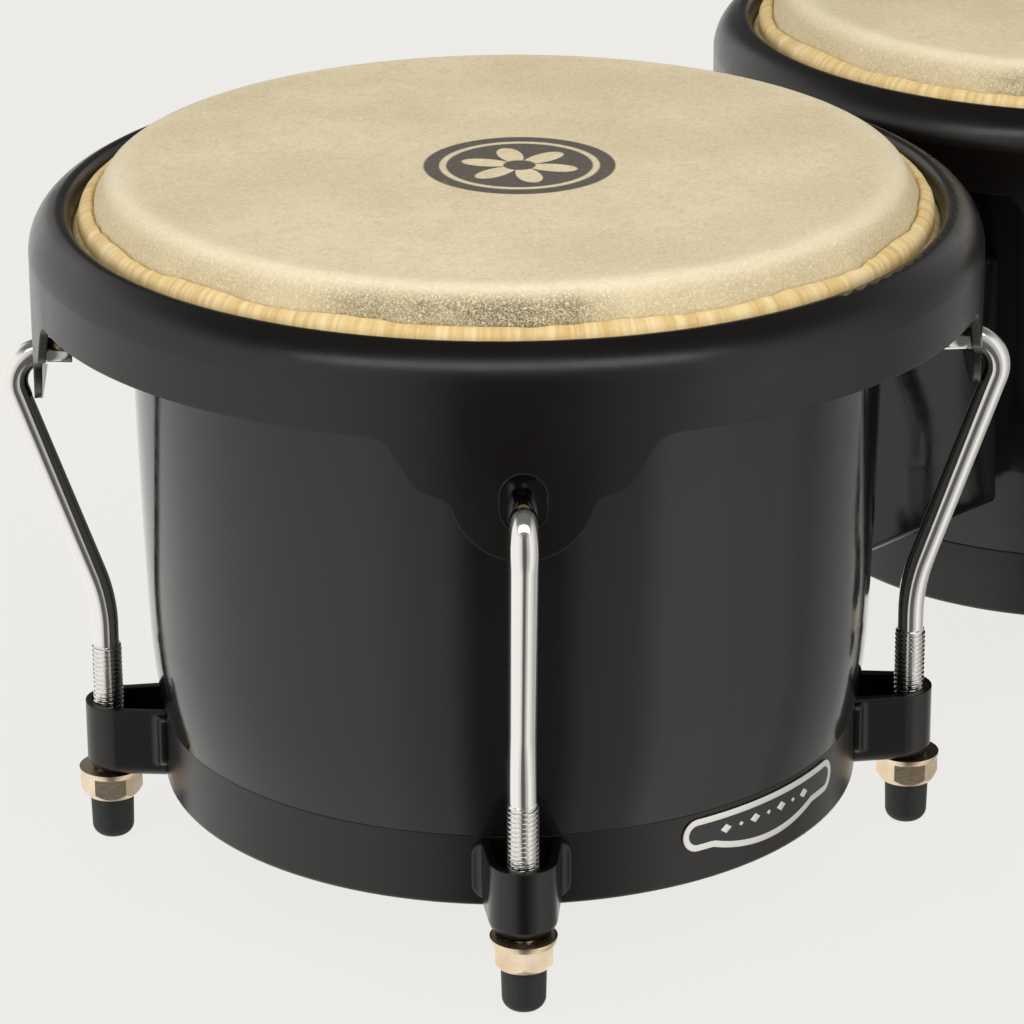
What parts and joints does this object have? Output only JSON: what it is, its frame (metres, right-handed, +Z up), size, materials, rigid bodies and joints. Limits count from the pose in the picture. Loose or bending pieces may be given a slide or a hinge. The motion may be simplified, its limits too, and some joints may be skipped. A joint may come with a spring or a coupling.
{
  "type": "bongo drums",
  "caption": "Pair of single-headed hand drums of two sizes joined by a centre block, each head tuned by hooked rods that pull a rolled rim down.",
  "frame": {"origin": "on the ground under the middle of the pair, where the foot caps stand", "axes": "+X from the larger drum's axis to the smaller drum's axis, +Y across them, +Z up"},
  "size_m": [0.4628, 0.24, 0.1832],
  "materials": {
    "shell_abs": "glossy black moulded ABS",
    "block_plastic": "glossy black moulded ABS",
    "black_powder_coat": "satin black powder coat on pressed steel",
    "rawhide": "natural buffalo skin, mottled, amber where rolled",
    "hoop_steel": "bare drawn wire",
    "chrome": "chrome plate",
    "nut_plating": "pale champagne plate",
    "cap_rubber": "matt black rubber",
    "zinc_steel": "bright zinc plate",
    "badge_metal": "black plate with a bright raised outline"
  },
  "bodies": {
    "root": {"hembra_shell": "shell_abs", "hembra_bottom_ring": "black_powder_coat", "hembra_lug_brackets": "black_powder_coat", "hembra_head": "rawhide", "macho_shell": "shell_abs", "macho_bottom_ring": "black_powder_coat", "macho_lug_brackets": "black_powder_coat", "macho_head": "rawhide", "centre_block": "block_plastic", "hembra_backing_plate": "zinc_steel", "macho_backing_plate": "zinc_steel", "centre_bolt_lower": "zinc_steel", "centre_bolt_upper": "zinc_steel", "centre_washers": "zinc_steel", "centre_nuts": "zinc_steel", "hembra_badge": "badge_metal"},
    "hembra_tuning_set": {"hembra_rim": "black_powder_coat", "hembra_flesh_hoop": "hoop_steel", "hembra_tuning_rod_1": "chrome", "hembra_foot_cap_1": "cap_rubber", "hembra_tuning_rod_2": "chrome", "hembra_foot_cap_2": "cap_rubber", "hembra_tuning_rod_3": "chrome", "hembra_foot_cap_3": "cap_rubber", "hembra_tuning_rod_4": "chrome", "hembra_foot_cap_4": "cap_rubber"},
    "hembra_nut_1": {"hembra_tuning_nut_1": "nut_plating"},
    "hembra_nut_2": {"hembra_tuning_nut_2": "nut_plating"},
    "hembra_nut_3": {"hembra_tuning_nut_3": "nut_plating"},
    "hembra_nut_4": {"hembra_tuning_nut_4": "nut_plating"},
    "macho_tuning_set": {"macho_rim": "black_powder_coat", "macho_flesh_hoop": "hoop_steel", "macho_tuning_rod_1": "chrome", "macho_foot_cap_1": "cap_rubber", "macho_tuning_rod_2": "chrome", "macho_foot_cap_2": "cap_rubber", "macho_tuning_rod_3": "chrome", "macho_foot_cap_3": "cap_rubber", "macho_tuning_rod_4": "chrome", "macho_foot_cap_4": "cap_rubber"},
    "macho_nut_1": {"macho_tuning_nut_1": "nut_plating"},
    "macho_nut_2": {"macho_tuning_nut_2": "nut_plating"},
    "macho_nut_3": {"macho_tuning_nut_3": "nut_plating"},
    "macho_nut_4": {"macho_tuning_nut_4": "nut_plating"}
  },
  "joints": [
    {"name": "hembra_tuning", "type": "slide", "parent": "root", "child": "hembra_tuning_set", "axis": [0, 0, -1], "range_m": [0, 0.006], "deforming": ["hembra_head"]},
    {"name": "hembra_nut_1_turn", "type": "hinge", "parent": "root", "child": "hembra_nut_1", "pos_m": [-0.1832, -0.07606, 0.016], "axis": [0, 0, 1], "range_deg": [0, 1728.5]},
    {"name": "hembra_nut_2_turn", "type": "hinge", "parent": "root", "child": "hembra_nut_2", "pos_m": [-0.03534, -0.0718, 0.016], "axis": [0, 0, 1], "range_deg": [0, 1728.5]},
    {"name": "hembra_nut_3_turn", "type": "hinge", "parent": "root", "child": "hembra_nut_3", "pos_m": [-0.0396, 0.07606, 0.016], "axis": [0, 0, 1], "range_deg": [0, 1728.5]},
    {"name": "hembra_nut_4_turn", "type": "hinge", "parent": "root", "child": "hembra_nut_4", "pos_m": [-0.18746, 0.0718, 0.016], "axis": [0, 0, 1], "range_deg": [0, 1728.5]},
    {"name": "macho_tuning", "type": "slide", "parent": "root", "child": "macho_tuning_set", "axis": [0, 0, -1], "range_m": [0, 0.006], "deforming": ["macho_head"]},
    {"name": "macho_nut_1_turn", "type": "hinge", "parent": "root", "child": "macho_nut_1", "pos_m": [0.05912, -0.06498, 0.016], "axis": [0, 0, 1], "range_deg": [0, 1728.5]},
    {"name": "macho_nut_2_turn", "type": "hinge", "parent": "root", "child": "macho_nut_2", "pos_m": [0.18908, -0.06498, 0.016], "axis": [0, 0, 1], "range_deg": [0, 1728.5]},
    {"name": "macho_nut_3_turn", "type": "hinge", "parent": "root", "child": "macho_nut_3", "pos_m": [0.18908, 0.06498, 0.016], "axis": [0, 0, 1], "range_deg": [0, 1728.5]},
    {"name": "macho_nut_4_turn", "type": "hinge", "parent": "root", "child": "macho_nut_4", "pos_m": [0.05912, 0.06498, 0.016], "axis": [0, 0, 1], "range_deg": [0, 1728.5]}
  ],
  "couplings": [
    {"joint": "hembra_nut_1_turn", "follows": "hembra_tuning", "rad_per_m": 5026.5},
    {"joint": "hembra_nut_2_turn", "follows": "hembra_tuning", "rad_per_m": 5026.5},
    {"joint": "hembra_nut_3_turn", "follows": "hembra_tuning", "rad_per_m": 5026.5},
    {"joint": "hembra_nut_4_turn", "follows": "hembra_tuning", "rad_per_m": 5026.5},
    {"joint": "macho_nut_1_turn", "follows": "macho_tuning", "rad_per_m": 5026.5},
    {"joint": "macho_nut_2_turn", "follows": "macho_tuning", "rad_per_m": 5026.5},
    {"joint": "macho_nut_3_turn", "follows": "macho_tuning", "rad_per_m": 5026.5},
    {"joint": "macho_nut_4_turn", "follows": "macho_tuning", "rad_per_m": 5026.5}
  ]
}
